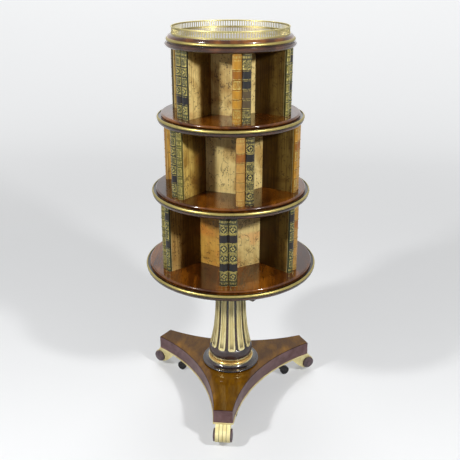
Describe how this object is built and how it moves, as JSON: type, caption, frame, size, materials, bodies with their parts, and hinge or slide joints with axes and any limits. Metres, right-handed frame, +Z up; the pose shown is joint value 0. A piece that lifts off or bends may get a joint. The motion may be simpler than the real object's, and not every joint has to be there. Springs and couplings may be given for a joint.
{
  "type": "revolving bookcase",
  "caption": "Floor-standing round revolving bookcase: graduated tiers that turn on one spindle, false-book dividers, pierced gallery, reeded column, concave-sided base on castors.",
  "frame": {"origin": "on the floor, at the middle of the footprint's bounding box; the spindle's axis is 26.5 mm behind it, along +Y", "axes": "+Z up along the spindle; the front arm of the base points along -Y; +X is to the right seen from the front"},
  "size_m": [0.6032, 0.613, 1.2745],
  "materials": {
    "rosewood": "french polished, high gloss",
    "rosewood_moulding": "french polished, high gloss",
    "ebonised_wood": "black polish",
    "marbled_board": "marbled paper over thin board, satin",
    "spine_leather": "tooled calf with gilt bands",
    "brass": "lacquered, polished",
    "gilt": "water gilding over gesso, slightly worn",
    "bush_brass": "machined",
    "iron": "dark, oiled"
  },
  "bodies": {
    "base": {"platform": "rosewood", "platform_bead": "gilt", "scroll_feet": "gilt", "foot_roundels": "ebonised_wood", "collar": "ebonised_wood", "column_ring": "gilt", "column": "ebonised_wood", "column_reeds": "gilt", "bearer": "ebonised_wood", "base_board": "rosewood_moulding", "base_bead": "brass", "base_thrust_washer": "bush_brass", "spindle": "iron", "spindle_washer": "bush_brass", "spindle_nut": "iron", "castor_plates": "iron"},
    "lower_tier": {"lower_floor": "rosewood", "lower_core": "rosewood", "lower_core_panels": "marbled_board", "lower_dividers": "rosewood", "lower_boards": "marbled_board", "lower_spines": "spine_leather", "lower_board": "rosewood_moulding", "lower_bead": "brass", "lower_bushes": "bush_brass", "lower_thrust_washer": "bush_brass"},
    "middle_tier": {"middle_floor": "rosewood", "middle_core": "rosewood", "middle_core_panels": "marbled_board", "middle_dividers": "rosewood", "middle_boards": "marbled_board", "middle_spines": "spine_leather", "middle_board": "rosewood_moulding", "middle_bead": "brass", "middle_bushes": "bush_brass", "middle_thrust_washer": "bush_brass"},
    "upper_tier": {"upper_floor": "rosewood", "upper_core": "rosewood", "upper_core_panels": "marbled_board", "upper_dividers": "rosewood", "upper_boards": "marbled_board", "upper_spines": "spine_leather", "upper_board": "rosewood_moulding", "upper_bead": "brass", "upper_bushes": "bush_brass", "gallery_foot": "brass", "gallery_bars": "brass", "gallery_rim": "brass", "spindle_cap": "brass"},
    "front_castor": {"front_castor_horn": "iron", "front_castor_axle": "iron"},
    "front_wheel": {"front_castor_wheel": "iron"},
    "left_castor": {"left_castor_horn": "iron", "left_castor_axle": "iron"},
    "left_wheel": {"left_castor_wheel": "iron"},
    "right_castor": {"right_castor_horn": "iron", "right_castor_axle": "iron"},
    "right_wheel": {"right_castor_wheel": "iron"}
  },
  "joints": [
    {"name": "lower_turn", "type": "hinge", "parent": "base", "child": "lower_tier", "pos_m": [0, 0.0265, 0.622], "axis": [0, 0, 1], "continuous": true},
    {"name": "middle_turn", "type": "hinge", "parent": "base", "child": "middle_tier", "pos_m": [0, 0.0265, 0.873], "axis": [0, 0, 1], "continuous": true},
    {"name": "upper_turn", "type": "hinge", "parent": "base", "child": "upper_tier", "pos_m": [0, 0.0265, 1.1085], "axis": [0, 0, 1], "continuous": true},
    {"name": "front_swivel", "type": "hinge", "parent": "base", "child": "front_castor", "pos_m": [0, -0.1635, 0.06], "axis": [0, 0, 1], "continuous": true},
    {"name": "front_roll", "type": "hinge", "parent": "front_castor", "child": "front_wheel", "pos_m": [0.02185, -0.13745, 0.016], "axis": [-0.766, 0.6428, 0], "continuous": true},
    {"name": "left_swivel", "type": "hinge", "parent": "base", "child": "left_castor", "pos_m": [-0.16454, 0.1215, 0.06], "axis": [0, 0, 1], "continuous": true},
    {"name": "left_roll", "type": "hinge", "parent": "left_castor", "child": "left_wheel", "pos_m": [-0.19399, 0.1385, 0.016], "axis": [-0.5, -0.866, 0], "continuous": true},
    {"name": "right_swivel", "type": "hinge", "parent": "base", "child": "right_castor", "pos_m": [0.16454, 0.1215, 0.06], "axis": [0, 0, 1], "continuous": true},
    {"name": "right_roll", "type": "hinge", "parent": "right_castor", "child": "right_wheel", "pos_m": [0.19399, 0.1385, 0.016], "axis": [-0.5, 0.866, 0], "continuous": true}
  ]
}
